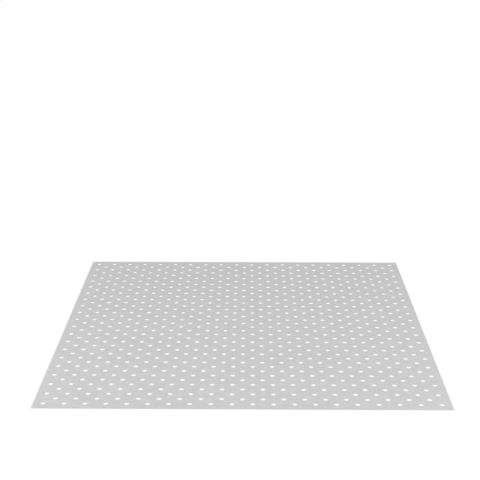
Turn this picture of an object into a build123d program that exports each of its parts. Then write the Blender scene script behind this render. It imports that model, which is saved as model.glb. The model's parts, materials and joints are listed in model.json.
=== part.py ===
"""A flat perforated metal sheet: one piece of sheet metal, punched all over with round holes.

The holes stand in straight rows, and every second row is shifted by half a pitch, so that each hole
lies in the middle of the square that its four nearest neighbours make (a 45 degree stagger).
The rows run along X. The sheet lies flat, with its underside on Z = 0 and its centre on the Z axis.
"""

from build123d import *
import os

# Driving dimensions, in millimetres.
sheet_width = 998.0  # along the rows of holes, X
sheet_length = 998.0  # across the rows, Y
thickness = 1.0
hole_diameter = 12.0
pitch = 50.0  # from hole to hole along a row, and from a row to the next but one
least_margin = 20.0  # a hole's centre is at least this far from the sheet's edge


def holes_that_fit(side):
    """How many holes a pitch apart fit along one side of the sheet, within the margins."""
    return int((side - 2 * least_margin) // pitch) + 1


# The full rows hold the outermost holes. The shifted rows lie between them, one hole shorter.
holes_per_row = holes_that_fit(sheet_width)
full_rows = holes_that_fit(sheet_length)

with BuildPart() as perforated_sheet:
    with BuildSketch() as outline:
        Rectangle(sheet_width, sheet_length)
        with GridLocations(pitch, pitch, holes_per_row, full_rows):
            Circle(hole_diameter / 2, mode=Mode.SUBTRACT)
        with GridLocations(pitch, pitch, holes_per_row - 1, full_rows - 1):
            Circle(hole_diameter / 2, mode=Mode.SUBTRACT)
    extrude(amount=thickness)

perforated_sheet.part.label = "perforated_sheet"

os.makedirs("parts", exist_ok=True)
export_step(perforated_sheet.part, "parts/perforated_sheet.step")
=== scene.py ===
"""Looks for the perforated sheet: its punched mesh, its galvanised finish, a white studio and the camera.

The sheet is one closed mesh. Its holes stand where the record's bores say, and each hole has the edge that
a punch leaves: the top rim is drawn in and rounded, the upper wall is sheared straight and smooth, and the
lower wall is torn and opens slightly towards the underside. The sheet's four sides are cut the same way.
"""

import json
import math

import bmesh
import bpy
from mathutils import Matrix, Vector


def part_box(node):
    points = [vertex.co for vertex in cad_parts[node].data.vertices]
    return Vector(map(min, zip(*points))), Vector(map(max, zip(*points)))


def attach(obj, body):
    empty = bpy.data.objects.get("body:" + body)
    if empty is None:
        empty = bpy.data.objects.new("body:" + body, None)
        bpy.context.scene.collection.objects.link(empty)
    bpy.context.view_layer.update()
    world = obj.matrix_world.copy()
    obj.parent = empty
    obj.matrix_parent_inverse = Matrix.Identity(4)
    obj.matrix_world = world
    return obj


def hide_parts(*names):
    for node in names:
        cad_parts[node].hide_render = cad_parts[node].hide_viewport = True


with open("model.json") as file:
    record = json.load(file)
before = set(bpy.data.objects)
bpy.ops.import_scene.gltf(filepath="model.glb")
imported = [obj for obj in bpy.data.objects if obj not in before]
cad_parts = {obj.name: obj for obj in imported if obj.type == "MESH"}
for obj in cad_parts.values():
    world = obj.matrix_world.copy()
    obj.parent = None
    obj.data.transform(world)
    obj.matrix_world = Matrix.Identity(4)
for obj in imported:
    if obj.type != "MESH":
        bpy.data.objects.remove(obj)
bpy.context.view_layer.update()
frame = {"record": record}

NODE = "perforated_sheet"
low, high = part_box(NODE)
thickness = high.z - low.z
mounts = {mount["name"]: mount for mount in frame["record"]["mounts"]}

# The field of holes, in metres. Each row is half a pitch behind the last and shifted by half a pitch.
first_hole = Vector(mounts["corner_hole_front_left"]["pos_m"])
last_hole = Vector(mounts["corner_hole_back_right"]["pos_m"])
second_row = Vector(mounts["edge_hole_front"]["pos_m"])
half_pitch = second_row.y - first_hole.y
hole_radius = mounts["corner_hole_front_left"]["dims"]["r_mm"] / 1000
columns = round((last_hole.x - first_hole.x) / half_pitch) + 1
rows = round((last_hole.y - first_hole.y) / half_pitch) + 1

# A cut edge, from the top face down to the underside: how far it stands back from the straight wall and how
# deep it lies, both as shares of the thickness.
CUT_EDGE = [(0.25, 0.0), (0.07, 0.04), (0.0, 0.14), (0.0, 0.55), (0.06, 1.0)]
ARC = 6  # straight sides to a quarter of a hole
QUARTER = math.pi / 2
FACE, CUT = 0, 1  # material slots of the rolled faces and of the cut edges


# ---------------------------------------------------------------- the sheet's mesh

sheet = bmesh.new()
plan_map = sheet.loops.layers.uv.new("OFBake")
MAP_SLOPE = 2.0  # on the plan map a cut face lies in the opening, this much wider than it is deep
map_margin = MAP_SLOPE * thickness
map_span = max(high.x - low.x, high.y - low.y) + 2 * map_margin


def add_face(vertices, material, opening=None):
    """One face with its place on the plan map. opening gives the way in plan into the opening beside it."""
    face = sheet.faces.new(vertices)
    face.material_index = material
    for loop in face.loops:
        x, y, z = loop.vert.co
        way = opening(x, y) if opening else Vector((0, 0))
        place = Vector((x, y)) + way * MAP_SLOPE * (high.z - z) - low.xy
        loop[plan_map].uv = (place + Vector((map_margin, map_margin))) / map_span


def add_wall(rings, opening, inwards):
    """The cut faces between closed rings of vertices, from the top ring down."""
    for upper, lower in zip(rings, rings[1:]):
        for k in range(len(upper)):
            face = [upper[k - 1], lower[k - 1], lower[k], upper[k]]
            add_face(face[::-1] if inwards else face, CUT, opening)


def outwards(x, y):
    """The way out of the sheet from a point on its outline."""
    return Vector((
        (x > high.x - thickness) - (x < low.x + thickness),
        (y > high.y - thickness) - (y < low.y + thickness),
    ))


def cell_lines(first, count, start, end):
    """Where cells meet along one axis: the sheet's two edges and, between them, half way between holes."""
    return [start] + [first + (k - 0.5) * half_pitch for k in range(count + 1)] + [end]


def level_vertices(back, depth, places):
    """The vertices where the cell lines cross at one level of the cut edge, by their line numbers."""
    inset = back * thickness
    x_lines = cell_lines(first_hole.x, columns, low.x + inset, high.x - inset)
    y_lines = cell_lines(first_hole.y, rows, low.y + inset, high.y - inset)
    z = high.z - depth * thickness
    return {(i, j): sheet.verts.new((x_lines[i], y_lines[j], z)) for i, j in places}


def add_hole_cell(centre, upper, lower):
    """A cell with a hole: its punched wall, and the faces round it between the rims and the corners."""
    rings = []
    for back, depth in CUT_EDGE:
        radius = hole_radius + back * thickness
        turns = [QUARTER * (k / ARC + 0.5) for k in range(4 * ARC)]
        points = [centre + radius * Vector((math.cos(turn), math.sin(turn))) for turn in turns]
        rings.append([sheet.verts.new((*point, high.z - depth * thickness)) for point in points])
    add_wall(rings, lambda x, y: (centre - Vector((x, y))).normalized(), inwards=True)
    for quarter in range(4):
        after = (quarter + 1) % 4
        steps = [(quarter * ARC + k) % (4 * ARC) for k in range(ARC, -1, -1)]
        add_face([upper[quarter], upper[after]] + [rings[0][k] for k in steps], FACE)
        add_face(([lower[quarter], lower[after]] + [rings[-1][k] for k in steps])[::-1], FACE)


def build_sheet():
    """The whole sheet, cell by cell. The outermost cells are the plain strips along its edges."""
    last_i, last_j = columns + 2, rows + 2
    border = [(i, 0) for i in range(last_i)] + [(last_i, j) for j in range(last_j)]
    border += [(i, last_j) for i in range(last_i, 0, -1)] + [(0, j) for j in range(last_j, 0, -1)]
    everywhere = [(i, j) for i in range(last_i + 1) for j in range(last_j + 1)]
    levels = [
        level_vertices(back, depth, everywhere if depth in (0, 1) else border)
        for back, depth in CUT_EDGE
    ]
    add_wall([[level[place] for place in border] for level in levels], outwards, inwards=False)
    for i in range(last_i):
        for j in range(last_j):
            corners = [(i + 1, j + 1), (i, j + 1), (i, j), (i + 1, j)]
            upper = [levels[0][place] for place in corners]
            lower = [levels[-1][place] for place in corners]
            in_field = 0 < i <= columns and 0 < j <= rows
            if in_field and (i + j) % 2 == 0:
                centre = first_hole.xy + half_pitch * Vector((i - 1, j - 1))
                add_hole_cell(centre, upper, lower)
            else:
                add_face(upper, FACE)
                add_face(lower[::-1], FACE)


# ---------------------------------------------------------------- materials


def add_node(tree, kind, inputs=None, **settings):
    """A shader node. Each input is given a value, or another node's output to take it from."""
    node = tree.nodes.new(kind)
    for name, value in settings.items():
        setattr(node, name, value)
    for name, value in (inputs or {}).items():
        if isinstance(value, bpy.types.NodeSocket):
            tree.links.new(value, node.inputs[name])
        else:
            node.inputs[name].default_value = value
    return node


def new_material(name):
    """A material with its node tree and its Principled shader."""
    material = bpy.data.materials.new(name)
    material.use_nodes = True
    tree = material.node_tree
    return material, tree, tree.nodes["Principled BSDF"]


def plan_place(tree, scale=(1.0, 1.0)):
    """The place in plan, in metres times scale. It is the same on both faces and all the way down a wall."""
    place = add_node(tree, "ShaderNodeTexCoord").outputs["Object"]
    return add_node(
        tree, "ShaderNodeMapping", {"Vector": place, "Scale": (*scale, 0.0)}
    ).outputs["Vector"]


def noise(tree, place, size, detail=2.0):
    """Smooth noise in plan, from 0 to 1, with features of about this size in metres."""
    return add_node(
        tree,
        "ShaderNodeTexNoise",
        {"Vector": place, "Scale": 1 / size, "Detail": detail},
        noise_dimensions="2D",
    ).outputs["Fac"]


def math_node(tree, operation, *values):
    """The result of a sum, product or the like of these values, each a number or another node's output."""
    return add_node(
        tree, "ShaderNodeMath", dict(enumerate(values)), operation=operation
    ).outputs[0]


def between(tree, factor, start, end):
    """A number that runs from start to end as factor runs from 0 to 1."""
    return add_node(
        tree, "ShaderNodeMapRange", {"Value": factor, "To Min": start, "To Max": end}
    ).outputs["Result"]


def greys(tree, factor, *stops):
    """A neutral colour that runs through these stops, each a factor from 0 to 1 and the grey it gives."""
    ramp = add_node(tree, "ShaderNodeValToRGB", {"Fac": factor})
    elements = ramp.color_ramp.elements
    while len(elements) < len(stops):
        elements.new(1.0)
    for element, (position, grey) in zip(elements, stops):
        element.position = position
        element.color = (grey, grey, grey, 1.0)
    return ramp.outputs["Color"]


CRYSTAL = 0.009  # usual size of a zinc crystal
CRYSTAL_TILT = 0.03  # how steeply the crystals' faces lie, at most
CRYSTAL_SHARE = 0.5  # how much of the sheet's unevenness is the crystals', the rest being clouds
CLOUD = 0.14  # size of the soft clouds in the zinc
GRAIN = 0.0007  # width of the rolling marks, which run along Y
GRAIN_STRETCH = 0.03  # their width as a share of their length
GRAIN_DEPTH = 0.000003


def galvanised_steel():
    """Zinc on rolled sheet: faint flat crystals, each tilted its own way, over soft clouds and a fine grain."""
    material, tree, shader = new_material("galvanised_steel")
    plan = plan_place(tree)
    ragged = add_node(
        tree,
        "ShaderNodeVectorMath",
        {0: noise(tree, plan, 0.35 * CRYSTAL), 1: (0.5 * CRYSTAL,) * 3},
        operation="MULTIPLY",
    ).outputs["Vector"]
    place = add_node(
        tree, "ShaderNodeVectorMath", {0: plan, 1: ragged}, operation="ADD"
    ).outputs["Vector"]
    crystals = add_node(
        tree,
        "ShaderNodeTexVoronoi",
        {"Vector": place, "Scale": 1 / CRYSTAL},
        voronoi_dimensions="2D",
    )
    shade = add_node(tree, "ShaderNodeSeparateColor", {"Color": crystals.outputs["Color"]}).outputs["Blue"]
    clouds = math_node(tree, "MULTIPLY", noise(tree, plan, CLOUD, detail=3.0), 1 - CRYSTAL_SHARE)
    grain = noise(tree, plan_place(tree, (1.0, GRAIN_STRETCH)), GRAIN)

    tone = math_node(tree, "MULTIPLY_ADD", shade, CRYSTAL_SHARE, clouds)
    tree.links.new(greys(tree, tone, (0.0, 0.60), (1.0, 0.64)), shader.inputs["Base Color"])
    tree.links.new(between(tree, tone, 0.52, 0.42), shader.inputs["Roughness"])
    shader.inputs["Metallic"].default_value = 1.0

    from_middle = add_node(
        tree,
        "ShaderNodeVectorMath",
        {0: place, 1: crystals.outputs["Position"]},
        operation="SUBTRACT",
    ).outputs["Vector"]
    way = add_node(
        tree,
        "ShaderNodeVectorMath",
        {0: crystals.outputs["Color"], 1: (0.5, 0.5, 0.5)},
        operation="SUBTRACT",
    ).outputs["Vector"]
    tilt = add_node(
        tree, "ShaderNodeVectorMath", {0: from_middle, 1: way}, operation="DOT_PRODUCT"
    ).outputs["Value"]
    facets = add_node(tree, "ShaderNodeBump", {"Height": tilt, "Distance": CRYSTAL_TILT})
    rolled = add_node(
        tree,
        "ShaderNodeBump",
        {"Height": grain, "Distance": GRAIN_DEPTH, "Normal": facets.outputs["Normal"]},
    )
    tree.links.new(rolled.outputs["Normal"], shader.inputs["Normal"])
    return material


STREAK = 0.0004  # width of the marks that a punch leaves down its wall
TORN_TOP, SHEARED_BOTTOM = 0.35, 0.5  # heights on the wall, as shares of the thickness


def cut_steel():
    """Bare steel of a punched edge: streaked from top to bottom, bright where sheared and dull where torn."""
    material, tree, shader = new_material("cut_steel")
    streaks = math_node(tree, "MULTIPLY", noise(tree, plan_place(tree), STREAK), 0.4)
    object_place = add_node(tree, "ShaderNodeTexCoord").outputs["Object"]
    height = add_node(tree, "ShaderNodeSeparateXYZ", {"Vector": object_place}).outputs["Z"]
    sheared = add_node(
        tree,
        "ShaderNodeMapRange",
        {
            "Value": height,
            "From Min": low.z + TORN_TOP * thickness,
            "From Max": low.z + SHEARED_BOTTOM * thickness,
        },
    ).outputs["Result"]
    tone = math_node(tree, "MULTIPLY_ADD", sheared, 0.6, streaks)
    tree.links.new(greys(tree, tone, (0.0, 0.42), (1.0, 0.62)), shader.inputs["Base Color"])
    tree.links.new(between(tree, tone, 0.6, 0.38), shader.inputs["Roughness"])
    shader.inputs["Metallic"].default_value = 1.0
    return material


# ---------------------------------------------------------------- the studio

FLOOR_SIZE = 60.0
FLOOR_DROP = 0.0001  # the floor lies this far under the sheet, so that the two never share a plane
FLOOR_PAINT, SHOWN_PAINT = 0.8, 0.12  # the floor's paint, as it lights things and where it shows
LIT_OUT_TO, UNLIT_FROM = 1.5, 5.0  # the softboxes light the floor as far as this, and hardly beyond that
LIT_GLOW, UNLIT_GLOW = 0.878, 0.921  # the glow that brings the floor to white there, where it shows

# The sky by the sine of its elevation: a white wall low down all round, then grey, brightening to overhead.
SKY = [(0.0, 1.0), (0.23, 1.0), (0.28, 0.38), (1.0, 0.80)]

SOFTBOX_DISTANCE, SOFTBOX_HEIGHT = 2.4, 2.2  # from the middle of the sheet
SOFTBOX_OVERSHOOT = 0.2  # how far beyond the middle each one is aimed
SOFTBOX_SIZE = (6.0, 1.2)
SOFTBOX_WATTS = 22.2


def background_rays(tree):
    """1 for rays that show the floor itself, to the camera or in metal, and 0 for those that light things."""
    rays = add_node(tree, "ShaderNodeLightPath").outputs
    shown = math_node(tree, "MAXIMUM", rays["Is Camera Ray"], rays["Is Glossy Ray"])
    return math_node(tree, "MAXIMUM", shown, rays["Is Transmission Ray"])


def white_floor():
    """A pale floor. Where it shows it glows, so that it is white and the object shades it only faintly."""
    material = bpy.data.materials.new("white_floor")
    material.use_nodes = True
    tree = material.node_tree
    tree.nodes.clear()
    shown = background_rays(tree)
    paint = add_node(tree, "ShaderNodeBsdfDiffuse", {"Color": between(tree, shown, FLOOR_PAINT, SHOWN_PAINT)})
    place = add_node(tree, "ShaderNodeTexCoord").outputs["Object"]
    distance = add_node(
        tree, "ShaderNodeVectorMath", {0: place}, operation="LENGTH"
    ).outputs["Value"]
    level = add_node(
        tree,
        "ShaderNodeMapRange",
        {
            "Value": distance,
            "From Min": LIT_OUT_TO,
            "From Max": UNLIT_FROM,
            "To Min": LIT_GLOW,
            "To Max": UNLIT_GLOW,
        },
    ).outputs["Result"]
    glow = add_node(
        tree, "ShaderNodeEmission", {"Strength": math_node(tree, "MULTIPLY", shown, level)}
    )
    both = add_node(tree, "ShaderNodeAddShader", {0: paint.outputs[0], 1: glow.outputs[0]})
    add_node(tree, "ShaderNodeOutputMaterial", {"Surface": both.outputs[0]})
    return material


def add_floor():
    """A wide flat floor under the sheet."""
    mesh = bpy.data.meshes.new("floor")
    half = FLOOR_SIZE / 2
    z = low.z - FLOOR_DROP
    corners = [(-half, -half, z), (half, -half, z), (half, half, z), (-half, half, z)]
    mesh.from_pydata(corners, [], [(0, 1, 2, 3)])
    mesh.materials.append(white_floor())
    floor = bpy.data.objects.new("floor", mesh)
    bpy.context.scene.collection.objects.link(floor)


def add_sky():
    """The studio's even light."""
    world = bpy.data.worlds.new("studio")
    bpy.context.scene.world = world
    world.use_nodes = True
    tree = world.node_tree
    way = add_node(tree, "ShaderNodeTexCoord").outputs["Generated"]
    up = add_node(tree, "ShaderNodeSeparateXYZ", {"Vector": way}).outputs["Z"]
    tree.links.new(greys(tree, up, *SKY), tree.nodes["Background"].inputs["Color"])


def add_softboxes():
    """Four long softboxes, one over each side of the sheet, so that it is lit alike from all sides."""
    for quarter in range(4):
        away = Vector((math.sin(quarter * QUARTER), math.cos(quarter * QUARTER), 0.0))
        place = SOFTBOX_DISTANCE * away + Vector((0.0, 0.0, SOFTBOX_HEIGHT))
        light = bpy.data.lights.new(f"softbox_{quarter}", "AREA")
        light.shape = "RECTANGLE"
        light.size, light.size_y = SOFTBOX_SIZE
        light.energy = SOFTBOX_WATTS
        lamp = bpy.data.objects.new(light.name, light)
        lamp.location = place
        lamp.rotation_euler = (-SOFTBOX_OVERSHOOT * away - place).to_track_quat("-Z", "Y").to_euler()
        bpy.context.scene.collection.objects.link(lamp)


LENS = 75.0
EYE_DISTANCE = 2.5971  # in front of the sheet's middle
EYE_HEIGHT = 1.1434  # above its top face
EYE_ASIDE = 0.0144  # to the right of its middle
TILT_DOWN = 19.0  # in degrees, as is the next
TURN_LEFT = 0.531


def add_camera():
    """A camera with a longish lens, low in front of the sheet."""
    camera = bpy.data.cameras.new("camera")
    camera.lens = LENS
    camera.sensor_width = 36.0
    camera.clip_end = 2 * FLOOR_SIZE
    eye = bpy.data.objects.new("camera", camera)
    middle = (low + high) / 2
    eye.location = (middle.x + EYE_ASIDE, middle.y - EYE_DISTANCE, high.z + EYE_HEIGHT)
    eye.rotation_euler = (math.radians(90 - TILT_DOWN), 0.0, math.radians(TURN_LEFT))
    bpy.context.scene.collection.objects.link(eye)
    bpy.context.scene.camera = eye


# ---------------------------------------------------------------- putting it together

build_sheet()
mesh = bpy.data.meshes.new("punched_sheet")
sheet.to_mesh(mesh)
sheet.free()
mesh.set_sharp_from_angle(angle=math.radians(30))
for polygon in mesh.polygons:
    polygon.use_smooth = polygon.material_index == CUT
mesh.materials.append(galvanised_steel())  # at the place that FACE gives
mesh.materials.append(cut_steel())  # at the place that CUT gives
piece = bpy.data.objects.new("punched_sheet", mesh)
bpy.context.scene.collection.objects.link(piece)
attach(piece, "root")
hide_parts(NODE)

add_camera()
add_floor()
add_sky()
add_softboxes()
bpy.context.scene.view_settings.view_transform = "Standard"
